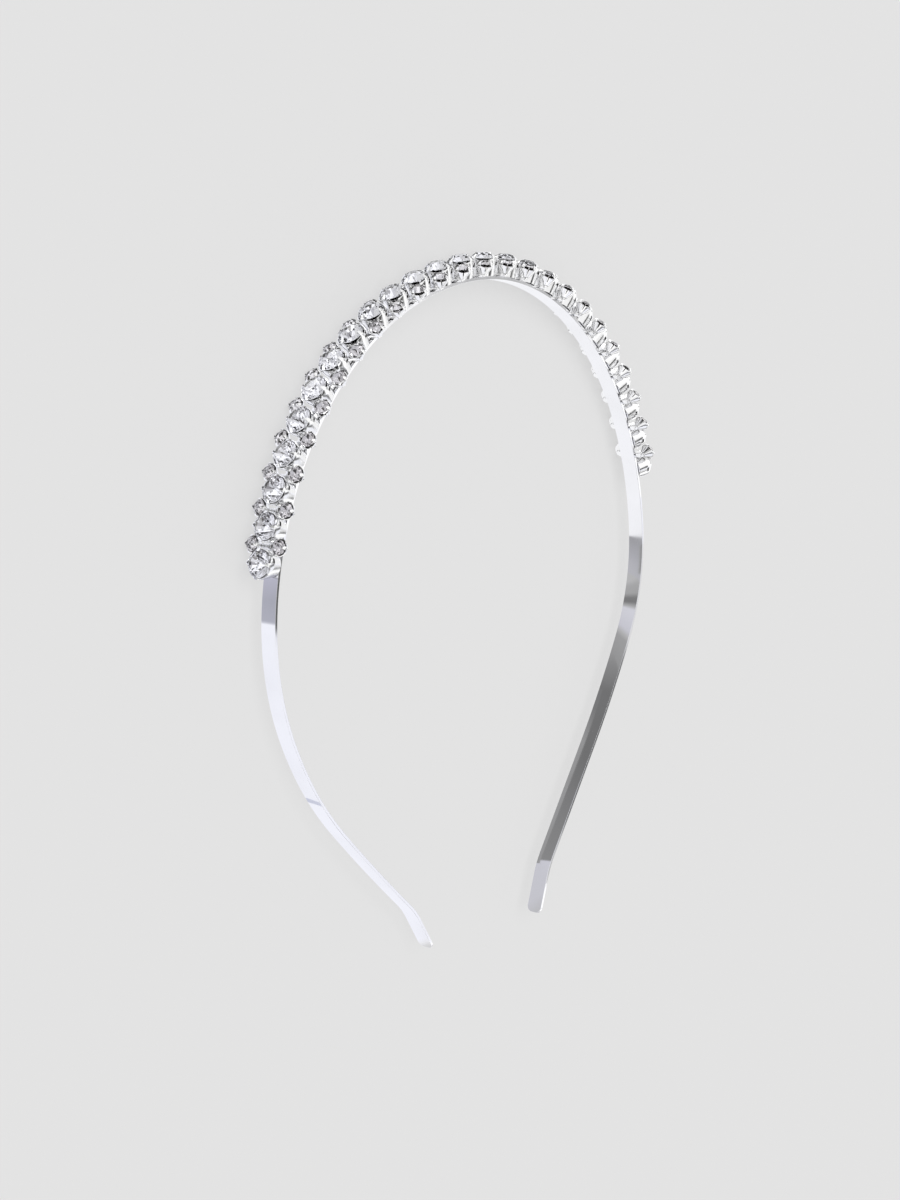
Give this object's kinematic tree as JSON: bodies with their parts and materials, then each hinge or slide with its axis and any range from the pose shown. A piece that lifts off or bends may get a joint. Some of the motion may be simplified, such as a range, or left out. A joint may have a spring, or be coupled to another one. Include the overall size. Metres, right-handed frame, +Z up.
{
  "type": "crystal headband",
  "caption": "Slim sprung metal headband, open between out-turned tips, with a claw-set strip of large and small round crystals over the crown.",
  "frame": {"origin": "middle of the outline as the headband lies on its side, at its lowest point, which is the lower row of small cups", "axes": "+X across the head, +Y from the tips to the crown of the arch, +Z up, across the width of the band"},
  "size_m": [0.126, 0.1472, 0.0107],
  "materials": {
    "plated_band": "polished silver-tone plating, with fine wear",
    "claw_metal": "bright silver-tone plating",
    "crystal": "clear faceted glass, silver-foiled underneath",
    "side_crystal": "clear faceted glass, silver-foiled underneath"
  },
  "bodies": {
    "root": {"band": "plated_band", "claw_strip": "claw_metal", "crystal_01": "crystal", "crystal_02": "crystal", "crystal_03": "crystal", "crystal_04": "crystal", "crystal_05": "crystal", "crystal_06": "crystal", "crystal_07": "crystal", "crystal_08": "crystal", "crystal_09": "crystal", "crystal_10": "crystal", "crystal_11": "crystal", "crystal_12": "crystal", "crystal_13": "crystal", "crystal_14": "crystal", "crystal_15": "crystal", "crystal_16": "crystal", "crystal_17": "crystal", "crystal_18": "crystal", "crystal_19": "crystal", "crystal_20": "crystal", "crystal_21": "crystal", "crystal_22": "crystal", "crystal_23": "crystal", "crystal_24": "crystal", "crystal_25": "crystal", "front_side_crystals": "side_crystal", "back_side_crystals": "side_crystal"}
  },
  "joints": []
}
